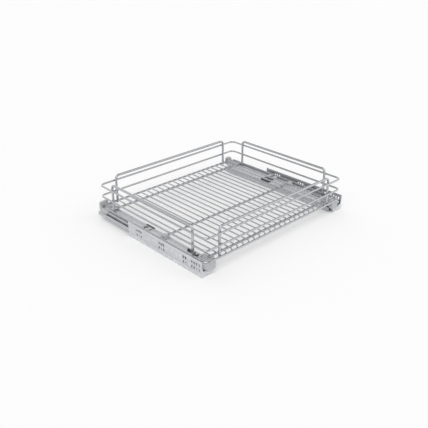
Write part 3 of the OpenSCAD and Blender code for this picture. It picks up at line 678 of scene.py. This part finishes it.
def finish(slot):
    """The material of one of the record's slots, made the first time it is asked for."""
    if slot not in made_finishes:
        made_finishes[slot] = FINISHES[slot](bpy.context.scene.basket_colours)
    return made_finishes[slot]


def round_nodes(names, radius):
    """Rounds the left and the right node of each name."""
    for name in names:
        for side in SIDES:
            node = f"{side}_{name}"
            round_node(node, radius, finish(SLOT_OF_NODE[node]))


# Welds


def weld(work, place, toward, first, second, height, radii, chance, unevenness):
    """A weld between two wires, as rings that change from one wire to the other.

    toward points at the wire that runs along first, and away from the one that runs
    along second. radii holds the (first, second) radius at the far end, the middle and
    the near end."""
    count, steps = 12, 6
    swell = [1 + unevenness * chance.uniform(-1, 1) for _ in range(count)]
    wobble = [(swell[index] + swell[index - 1]) / 2 for index in range(count)]
    rings = []
    for step in range(steps + 1):
        t = 2 * step / steps - 1
        outer = radii[2] if t > 0 else radii[0]
        size = [middle + (end - middle) * t * t for middle, end in zip(radii[1], outer)]
        rings.append(ring_points(work, place + toward * (t * height), first, second, size,
                                 count, wobble))
    join_rings(work, rings)


def crossing(work, place, toward, first, second, first_radius, second_radius, sizes, chance):
    """A weld where two round wires cross and touch."""
    thin = min(first_radius, second_radius)
    waist = thin * sizes.waist
    height = thin * 0.62
    radii = ((waist, waist + sizes.flare), (waist, waist), (waist + sizes.flare, waist))
    weld(work, place, toward, first, second, height, radii, chance, sizes.unevenness)


def middle_of(node):
    """The centre of a node's box."""
    low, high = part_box(node)
    return (low + high) / 2


def wire_radius(node):
    """The radius of a wire that lies flat, from the height of its box."""
    low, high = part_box(node)
    return (high.z - low.z) / 2


def floor_wire_places(sizes):
    """The x places of the floor wires."""
    low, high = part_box("floor_wires")
    first = low.x + sizes.floor_wire / 2
    pitch = (high.x - low.x - sizes.floor_wire) / (sizes.floor_wires - 1)
    return [first + pitch * index for index in range(sizes.floor_wires)]


def floor_welds(work, sizes, chance):
    """Welds of the floor wires on the cross wires and against the frame wire."""
    radius = sizes.floor_wire / 2
    frame_radius = wire_radius("bottom_frame_wire")
    frame_low, frame_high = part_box("bottom_frame_wire")
    frame_z = middle_of("bottom_frame_wire").z
    loop_low, loop_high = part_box("front_guard_loop")
    loop_wire = loop_high.y - loop_low.y
    leg_x = loop_high.x - loop_wire / 2
    for x in floor_wire_places(sizes):
        for cross in ("front_cross_wire", "middle_cross_wire", "rear_cross_wire"):
            centre = middle_of(cross)
            top = centre.z + wire_radius(cross) - sizes.sunk / 2
            crossing(work, Vector((x, centre.y, top)), Z_AXIS, Y_AXIS, X_AXIS, radius,
                     wire_radius(cross), sizes, chance)
        if abs(abs(x) - leg_x) < loop_wire:
            continue
        for sign, edge in ((-1, frame_low.y), (1, frame_high.y)):
            inside = edge - sign * (2 * frame_radius - sizes.sunk / 2)
            crossing(work, Vector((x, inside, frame_z + radius / 2)), Y_AXIS * -sign, Z_AXIS,
                     X_AXIS, radius, frame_radius, sizes, chance)


def loop_welds(work, sizes, chance):
    """Welds of the legs of the guard loops on the frame wire and the two rails."""
    rings = ("bottom_frame_wire", "lower_rail", "upper_rail")
    for side, axis, along in (("left", X_AXIS, Y_AXIS), ("right", X_AXIS, Y_AXIS),
                              ("front", Y_AXIS, X_AXIS), ("rear", Y_AXIS, X_AXIS)):
        low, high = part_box(side + "_guard_loop")
        radius = (high - low).dot(axis) / 2
        centre = (low + high) / 2
        outward = axis * (1 if centre.dot(axis) > 0 else -1)
        reach = (high - low).dot(along) / 2 - radius
        for ring in rings:
            ring_radius = wire_radius(ring)
            level = middle_of(ring).z
            for sign in (-1, 1):
                leg = centre + along * (sign * reach) + outward * (radius - sizes.sunk / 2)
                leg.z = level
                crossing(work, leg, -outward, Z_AXIS, along, radius, ring_radius, sizes,
                         chance)


def cross_wire_welds(work, sizes, chance):
    """Welds of the ends of the cross wires on the inner side of the frame wire."""
    frame_radius = wire_radius("bottom_frame_wire")
    _, frame_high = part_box("bottom_frame_wire")
    for cross in ("front_cross_wire", "middle_cross_wire", "rear_cross_wire"):
        radius = wire_radius(cross)
        centre = middle_of(cross)
        for sign in (-1, 1):
            inside = sign * (frame_high.x - 2 * frame_radius - sizes.flare / 2)
            place = Vector((inside, centre.y, centre.z))
            radii = ((radius * 0.98, radius * 0.98), (radius * 1.12, radius * 1.03),
                     (radius + 2 * sizes.flare, radius * 0.62))
            weld(work, place, X_AXIS * sign, Y_AXIS, Z_AXIS, 2.2 * MM, radii, chance,
                 sizes.unevenness / 3)


def ring_seams(work, sizes, chance):
    """The closing seam of each ring of wire, on its right-hand run."""
    for ring, y in SEAM_PLACES.items():
        radius = wire_radius(ring)
        _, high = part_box(ring)
        place = Vector((high.x - radius, y, middle_of(ring).z))
        thin = (radius * 0.97, radius * 0.97)
        thick = (radius + sizes.seam, radius + sizes.seam)
        weld(work, place, Y_AXIS, X_AXIS, Z_AXIS, 1.3 * MM, (thin, thick, thin), chance,
             sizes.unevenness / 6)


# Operators


class Rounding:
    """What the operators share that only round some nodes of each side."""

    nodes = ()
    group = "basket_plastic"
    edge = "small_edge"

    def execute(self, context):
        round_nodes(self.nodes, getattr(getattr(context.scene, self.group), self.edge))
        return {"FINISHED"}


class BASKET_OT_wires(bpy.types.Operator):
    """Finish the wires of the basket"""

    bl_idname = "basket.wires"
    bl_label = "Wires"

    def execute(self, context):
        for node, slot in SLOT_OF_NODE.items():
            if slot == "chrome_wire":
                finish_node(node, finish(slot))
        return {"FINISHED"}


class BASKET_OT_welds(bpy.types.Operator):
    """Add the welds between the wires"""

    bl_idname = "basket.welds"
    bl_label = "Welds"

    def execute(self, context):
        sizes = context.scene.basket_welds
        chance = random.Random(7)
        for name, build in (("floor_wire_welds", floor_welds), ("guard_loop_welds", loop_welds),
                            ("cross_wire_welds", cross_wire_welds),
                            ("ring_seams", ring_seams)):
            work = bmesh.new()
            build(work, sizes, chance)
            add_piece(name, mesh_from(work, name), "basket",
                      finish("chrome_wire"))
        return {"FINISHED"}


class BASKET_OT_mounting_brackets(bpy.types.Operator):
    """Round and finish the two mounting brackets, with their pressed line"""

    bl_idname = "basket.mounting_brackets"
    bl_label = "Mounting brackets"

    def execute(self, context):
        sizes = context.scene.basket_sheet
        for side in SIDES:
            node = f"{side}_mounting_bracket"
            low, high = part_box(node)
            wall_x, outward = (low.x, -1) if side == "left" else (high.x, 1)
            start = Vector((wall_x + outward * (sizes.line_radius - sizes.line_depth),
                            low.y - MM, low.z + sizes.line_height))
            work = bmesh.new()
            lathe(work, start, Y_AXIS, [(sizes.line_radius, 0.0),
                                        (sizes.line_radius, high.y - low.y + 2 * MM)], 24)
            round_node(node, sizes.bracket_edge, finish(SLOT_OF_NODE[node]),
                       mesh_from(work, node + "_line"))
        return {"FINISHED"}


class BASKET_OT_runner_profiles(Rounding, bpy.types.Operator):
    """Round and finish the cabinet, middle and drawer profiles"""

    bl_idname = "basket.runner_profiles"
    bl_label = "Runner profiles"

    nodes = ("cabinet_profile", "middle_profile", "drawer_profile")
    group = "basket_sheet"
    edge = "bracket_edge"


class BASKET_OT_roller_cages(Rounding, bpy.types.Operator):
    """Round and finish the roller cages and their rollers"""

    bl_idname = "basket.roller_cages"
    bl_label = "Roller cages"

    nodes = ("lower_roller_cage", "upper_roller_cage", "lower_rollers", "upper_rollers")
    edge = "cage_edge"


class BASKET_OT_corner_cups(Rounding, bpy.types.Operator):
    """Round and finish the four corner cups"""

    bl_idname = "basket.corner_cups"
    bl_label = "Corner cups"

    nodes = ("front_cup", "rear_cup")
    edge = "cup_edge"


class BASKET_OT_wire_clips(Rounding, bpy.types.Operator):
    """Round and finish the clips on the middle cross wire"""

    bl_idname = "basket.wire_clips"
    bl_label = "Wire clips"

    nodes = ("wire_clip",)


class BASKET_OT_release_levers(bpy.types.Operator):
    """Round and finish the release levers and add their grip ridges"""

    bl_idname = "basket.release_levers"
    bl_label = "Release levers"

    def execute(self, context):
        sizes = context.scene.basket_plastic
        round_nodes(["release_lever"], sizes.small_edge)
        for side in SIDES:
            low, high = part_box(f"{side}_release_lever")
            centre_x = (low.x + high.x) / 2
            pad_radius = 3.5 * MM
            pitch = 1.3 * MM
            end = (0.32 * MM, 0.1 * MM)
            pad_y = high.y - pad_radius
            work = bmesh.new()
            for index in range(sizes.grip_ridges):
                away = (index - (sizes.grip_ridges - 1) / 2) * pitch
                half = math.sqrt((pad_radius - 0.6 * MM) ** 2 - away ** 2)
                place = Vector((centre_x, pad_y + away, high.z - 0.1 * MM))
                radii = (end, (0.45 * MM, sizes.grip_height), end)
                weld(work, place, X_AXIS, Y_AXIS, Z_AXIS, half, radii, random.Random(index),
                     0.0)
            add_piece(f"{side}_lever_grip", mesh_from(work, f"{side}_lever_grip"),
                      f"{side}_lever", finish("latch_plastic"))
        return {"FINISHED"}


class BASKET_OT_side_adjusters(bpy.types.Operator):
    """Round and finish the adjusters: housings, wheels and bars"""

    bl_idname = "basket.side_adjusters"
    bl_label = "Side adjusters"

    def execute(self, context):
        sizes = context.scene.basket_plastic
        round_nodes(["adjuster_housing", "adjuster_bar"], sizes.small_edge)
        round_nodes(["adjuster_wheel"], sizes.cage_edge)
        return {"FINISHED"}


def cylinder_mesh(node, bore):
    """A damper cylinder with its bore, chamfered ends and two crimped grooves."""
    low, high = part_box(node)
    start = Vector(((low.x + high.x) / 2, low.y, (low.z + high.z) / 2))
    reach = high.y - low.y
    radius = (high.x - low.x) / 2
    crimp = 0.35 * MM
    groove = 4 * MM
    end_wall = 5 * MM
    outline = [(CLOSED_TIP, reach - end_wall), (bore, reach - end_wall), (bore, 0.0),
               (radius - crimp, 0.0), (radius, crimp)]
    for centre in (groove, reach - groove):
        outline += [(radius, centre - 2 * crimp), (radius - crimp, centre - crimp / 2),
                    (radius - crimp, centre + crimp / 2), (radius, centre + 2 * crimp)]
    outline += [(radius, reach - crimp), (radius - crimp, reach), (CLOSED_TIP, reach)]
    work = bmesh.new()
    lathe(work, start, Y_AXIS, outline)
    return mesh_from(work, node, 30)


class BASKET_OT_dampers(bpy.types.Operator):
    """Round and finish the dampers and build their cylinders"""

    bl_idname = "basket.dampers"
    bl_label = "Dampers"

    def execute(self, context):
        round_nodes(["damper_housing", "damper_slide", "closing_catch"],
                    context.scene.basket_plastic.small_edge)
        bore = context.scene.basket_fasteners.damper_bore / 2
        for side in SIDES:
            finish_node(f"{side}_damper_rod", finish("fastener_steel"))
            node = f"{side}_damper_cylinder"
            turned_node(node, cylinder_mesh(node, bore), finish("fastener_steel"))
        return {"FINISHED"}


def screw_mesh(name, low, high, sizes):
    """Two pan-head screws with a cross recess, one at each end of a node's box."""
    head_radius = (high.x - low.x) / 2
    shank = sizes.screw_shank / 2
    under = high.z - sizes.screw_head
    outline = [(shank * 0.8, low.z), (shank, low.z + 0.4 * MM), (shank, under),
               (head_radius - 0.15 * MM, under), (head_radius, under + 0.15 * MM)]
    outline += dome(head_radius, under + 0.5 * MM, high.z - under - 0.5 * MM, 8)
    places = [Vector(((low.x + high.x) / 2, y, 0))
              for y in (low.y + head_radius, high.y - head_radius)]
    work = bmesh.new()
    for place in places:
        lathe(work, place, Z_AXIS, outline)
    screws = mesh_from(work, name)
    arm = head_radius * 0.56
    width = sizes.recess_width / 2
    # one arm of the cross at a time, because a cutter that crosses itself leaves nothing
    for half_x, half_y, extra in ((arm, width, 0.0), (width, arm, 0.01 * MM)):
        cutter = bmesh.new()
        for place in places:
            prism(cutter, place, half_x, half_y, high.z - sizes.recess_depth - extra,
                  high.z + MM + 10 * extra, 0.35)
        screws = carve(screws, mesh_from(cutter, name + "_recess"))
    return screws


def rivet_mesh(name, low, high, sizes):
    """Four rivets with a domed head inside and a hollow end outside."""
    inward = 1 if low.x < 0 else -1
    outer_x = low.x if inward > 0 else high.x
    level = (low.z + high.z) / 2
    reach = high.x - low.x
    head_radius = (high.z - low.z) / 2
    shank = sizes.rivet_shank / 2
    head = reach - sizes.rivet_head
    bore = shank * 0.8
    depth = reach * 0.7
    outline = [(CLOSED_TIP, depth), (bore, depth - 0.1 * MM), (bore, 0.15 * MM),
               (bore + 0.1 * MM, 0.0), (shank - 0.1 * MM, 0.0), (shank, 0.1 * MM),
               (shank, head),
               (head_radius - 0.1 * MM, head), (head_radius, head + 0.15 * MM)]
    outline += dome(head_radius, head + 0.35 * MM, reach - head - 0.35 * MM, 7)
    first = low.y + head_radius
    work = bmesh.new()
    for place in sizes.rivet_rows:
        start = Vector((outer_x, first + place - sizes.rivet_rows[0], level))
        lathe(work, start, X_AXIS * inward, outline)
    return mesh_from(work, name, 40)


def pin_mesh(name, low, high, sizes):
    """A pin with a flat head below and a domed head above."""
    head_radius = (high.x - low.x) / 2
    shank = sizes.pin_shank / 2
    flat = 1.2 * MM
    chamfer = 0.2 * MM
    outline = [(CLOSED_TIP, low.z), (head_radius - chamfer, low.z),
               (head_radius, low.z + chamfer), (head_radius, low.z + flat),
               (shank, low.z + flat), (shank, high.z - flat), (head_radius, high.z - flat)]
    rise = flat - 0.4 * MM
    outline += dome(head_radius, high.z - rise, rise, 7, first=0)
    work = bmesh.new()
    centre = (low + high) / 2
    lathe(work, Vector((centre.x, centre.y, 0)), Z_AXIS, outline)
    return mesh_from(work, name, 40)


class BASKET_OT_fasteners(bpy.types.Operator):
    """Build the cup screws, the bracket rivets and the lever pins"""

    bl_idname = "basket.fasteners"
    bl_label = "Fasteners"

    def execute(self, context):
        sizes = context.scene.basket_fasteners
        for side in SIDES:
            for kind, build in (("cup_screws", screw_mesh), ("bracket_rivets", rivet_mesh),
                                ("lever_pin", pin_mesh)):
                node = f"{side}_{kind}"
                mesh = build(node + "_turned", *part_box(node), sizes)
                turned_node(node, mesh, finish("fastener_steel"))
        return {"FINISHED"}


def build_floor(stage):
    """A large pale floor that keeps the shadow and looks white to camera and metal."""
    work = bmesh.new()
    bmesh.ops.create_grid(work, x_segments=6, y_segments=6, size=stage.floor_size / 2)
    for vertex in work.verts:
        vertex.co.z = CAD_BOX[0][2] - 0.05 * MM
    floor = bpy.data.objects.new("floor", mesh_from(work, "floor"))
    bpy.context.scene.collection.objects.link(floor)
    material, tree, surface = new_material("Pale floor")
    shade = use_group(tree, "Mottle", {
        "Colour": opaque(stage.floor_colour), "Roughness": 0.7, "Tone Change": 0.01,
        "Gloss Change": 0.05, "Scale": 3.0})
    matt = add_node(tree, "ShaderNodeBsdfPrincipled", {
        "Base Color": shade["Colour"], "Roughness": shade["Roughness"],
        "Specular IOR Level": 0.0})
    lift = calculate(tree, "MULTIPLY", seen_directly(tree), stage.floor_lift)
    glow = add_node(tree, "ShaderNodeEmission", {"Strength": lift})
    both = add_node(tree, "ShaderNodeAddShader")
    put(tree, both.inputs[0], matt.outputs["BSDF"])
    put(tree, both.inputs[1], glow.outputs["Emission"])
    put(tree, surface, both.outputs[0])
    floor.data.materials.append(material)


def seen_directly(tree):
    """1 for rays from the camera and for rays by way of metal or glass, otherwise 0."""
    path = add_node(tree, "ShaderNodeLightPath").outputs
    sharp = calculate(tree, "MAXIMUM", path["Is Camera Ray"], path["Is Glossy Ray"])
    return calculate(tree, "MAXIMUM", sharp, path["Is Transmission Ray"])


def build_world(stage):
    """Even light all round, and a white horizon that darkens upward for reflections."""
    world = bpy.data.worlds.new("Studio")
    bpy.context.scene.world = world
    world.use_nodes = True
    tree = world.node_tree
    tree.nodes.clear()
    direction = add_node(tree, "ShaderNodeTexCoord").outputs["Generated"]
    height = add_node(tree, "ShaderNodeSeparateXYZ", {0: direction}).outputs["Z"]
    fade = add_node(tree, "ShaderNodeMapRange", {
        "Value": height, "From Min": 0.18, "From Max": 0.85, "To Min": 1.0,
        "To Max": stage.sky_top}, interpolation_type="SMOOTHSTEP")
    shown = add_node(tree, "ShaderNodeBackground", {
        "Color": (1, 1, 1, 1), "Strength": fade.outputs[0]})
    light = add_node(tree, "ShaderNodeBackground", {
        "Color": (1, 1, 1, 1), "Strength": stage.sky_strength})
    choice = add_node(tree, "ShaderNodeMixShader", {0: seen_directly(tree)})
    put(tree, choice.inputs[1], light.outputs[0])
    put(tree, choice.inputs[2], shown.outputs[0])
    output = tree.nodes.new("ShaderNodeOutputWorld")
    put(tree, output.inputs["Surface"], choice.outputs[0])


def add_lamp(name, place, strength, spread):
    """A wide soft lamp, far away, that shines from a place towards the origin."""
    lamp = bpy.data.lights.new(name, "SUN")
    lamp.angle = spread
    lamp.energy = strength
    holder = bpy.data.objects.new(name, lamp)
    bpy.context.scene.collection.objects.link(holder)
    holder.location = place
    holder.rotation_euler = (-Vector(place)).to_track_quat("-Z", "Y").to_euler()
    return holder


def add_camera(stage):
    """The camera, looking the way the drawing does."""
    turn, rise, roll = stage.camera_azimuth, stage.camera_elevation, stage.camera_roll
    back = Vector((math.sin(turn) * math.cos(rise), -math.cos(turn) * math.cos(rise),
                   math.sin(rise)))
    level_right = Z_AXIS.cross(back).normalized()
    level_up = back.cross(level_right)
    right = level_right * math.cos(roll) + level_up * math.sin(roll)
    up = level_up * math.cos(roll) - level_right * math.sin(roll)
    data = bpy.data.cameras.new("camera")
    data.lens = stage.camera_lens
    data.sensor_width = 36.0
    data.clip_start = 0.01
    data.clip_end = 200.0
    camera = bpy.data.objects.new("camera", data)
    bpy.context.scene.collection.objects.link(camera)
    camera.matrix_world = Matrix.Translation(Vector(stage.camera_place)) @ Matrix(
        (right, up, back)).transposed().to_4x4()
    bpy.context.scene.camera = camera


class BASKET_OT_stage(bpy.types.Operator):
    """Set up the floor, the soft lamps, the surroundings and the camera"""

    bl_idname = "basket.stage"
    bl_label = "Stage"

    def execute(self, context):
        stage = context.scene.basket_stage
        build_floor(stage)
        build_world(stage)
        for name, place, strength in (
                ("key_lamp", (-1.5, -1.0, 2.6), stage.key_strength),
                ("fill_lamp", (2.2, -1.6, 1.8), stage.fill_strength),
                ("back_lamp", (0.6, 2.4, 2.0), stage.back_strength)):
            add_lamp(name, place, strength, stage.lamp_spread)
        add_camera(stage)
        context.scene.view_settings.view_transform = "Standard"
        return {"FINISHED"}


class BASKET_PT_panel(bpy.types.Panel):
    """Lists the groups of pieces and their sizes"""

    bl_idname = "BASKET_PT_panel"
    bl_label = "Pull-out basket"
    bl_space_type = "VIEW_3D"
    bl_region_type = "UI"
    bl_category = "Basket"

    def draw(self, context):
        layout = self.layout
        for attribute, kind in PROPERTY_GROUPS.items():
            box = layout.box()
            box.label(text=kind.__doc__)
            for name in kind.__annotations__:
                box.prop(getattr(context.scene, attribute), name)
        for operator in OPERATORS:
            layout.operator(operator.bl_idname)


PROPERTY_GROUPS = {
    "basket_welds": WeldSizes,
    "basket_sheet": SheetSizes,
    "basket_plastic": PlasticSizes,
    "basket_fasteners": FastenerSizes,
    "basket_colours": FinishColours,
    "basket_stage": StageSizes,
}
OPERATORS = (
    BASKET_OT_wires,
    BASKET_OT_welds,
    BASKET_OT_mounting_brackets,
    BASKET_OT_runner_profiles,
    BASKET_OT_roller_cages,
    BASKET_OT_corner_cups,
    BASKET_OT_wire_clips,
    BASKET_OT_release_levers,
    BASKET_OT_side_adjusters,
    BASKET_OT_dampers,
    BASKET_OT_fasteners,
    BASKET_OT_stage,
)


def register():
    """Makes the classes and the scene's property groups known to Blender."""
    for kind in (*PROPERTY_GROUPS.values(), *OPERATORS, BASKET_PT_panel):
        bpy.utils.register_class(kind)
    for attribute, kind in PROPERTY_GROUPS.items():
        setattr(bpy.types.Scene, attribute, PointerProperty(type=kind))


def unregister():
    """Takes the classes and property groups away again."""
    for attribute in PROPERTY_GROUPS:
        delattr(bpy.types.Scene, attribute)
    for kind in reversed((*PROPERTY_GROUPS.values(), *OPERATORS, BASKET_PT_panel)):
        bpy.utils.unregister_class(kind)


def main():
    """Builds everything."""
    register()
    for operator in OPERATORS:
        group, name = operator.bl_idname.split(".")
        getattr(getattr(bpy.ops, group), name)()


if __name__ == "__main__":
    main()
